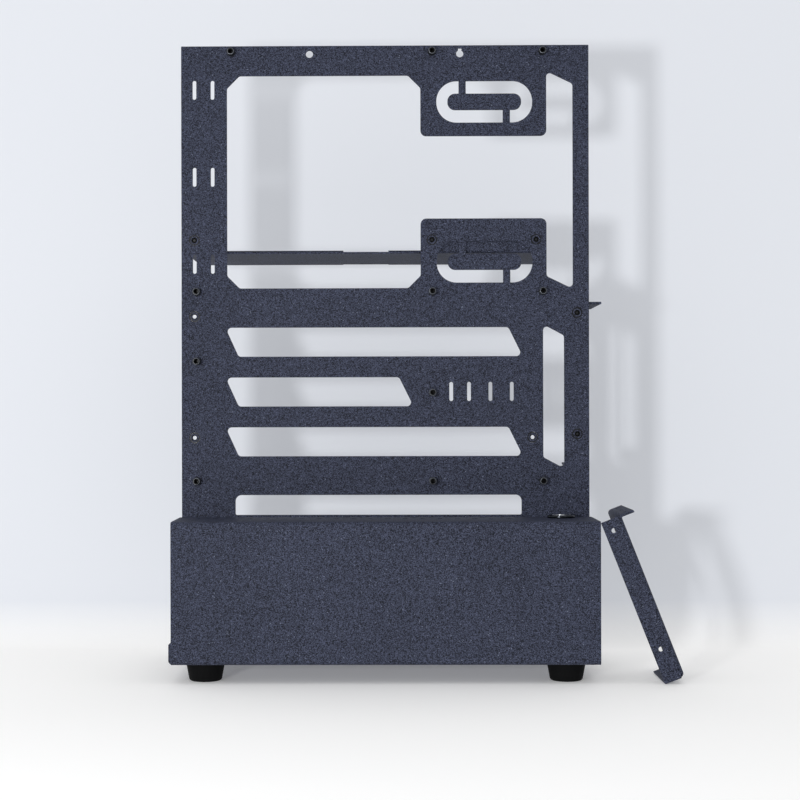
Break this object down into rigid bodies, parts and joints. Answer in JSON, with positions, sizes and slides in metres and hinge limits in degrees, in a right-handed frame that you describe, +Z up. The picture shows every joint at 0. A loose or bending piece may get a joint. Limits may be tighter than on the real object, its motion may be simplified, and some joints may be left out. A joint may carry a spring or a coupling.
{
  "type": "open air test bench",
  "caption": "Upright open frame that holds a computer main board on a windowed plate over a box-shaped base with rubber feet, a rear shelf and a power button.",
  "frame": {"origin": "on the floor, under the middle of the whole outline", "axes": "+Z up, +X to the right of the front, +Y from the front to the back"},
  "size_m": [0.3238, 0.15, 0.412],
  "materials": {
    "powder_coat": "fine textured powder coat",
    "black_zinc": "black zinc",
    "fastener_steel": "zinc plated",
    "foot_rubber": "matt",
    "button_chrome": "polished",
    "terminal_brass": "plain"
  },
  "bodies": {
    "bench": {"base_shell": "powder_coat", "main_plate": "powder_coat", "rear_shelf": "powder_coat", "card_bracket": "powder_coat", "spare_card_bracket": "powder_coat", "board_standoffs": "black_zinc", "flush_nuts": "powder_coat", "shelf_screws": "fastener_steel", "bracket_screws": "fastener_steel", "deck_screws": "fastener_steel", "deck_nuts": "fastener_steel", "floor_screws": "fastener_steel", "floor_nuts": "fastener_steel", "foot_screws": "fastener_steel", "foot_nuts": "fastener_steel", "foot_front_left": "foot_rubber", "foot_front_right": "foot_rubber", "foot_rear_left": "foot_rubber", "foot_rear_right": "foot_rubber", "button_housing": "button_chrome", "button_nut": "button_chrome", "button_terminals": "terminal_brass"},
    "button": {"button_cap": "button_chrome"}
  },
  "joints": [
    {"name": "button_press", "type": "slide", "parent": "bench", "child": "button", "axis": [0, 0, -1], "range_m": [0, 0.0016], "stiffness_N_per_m": 800, "springref_m": -0.0006}
  ]
}
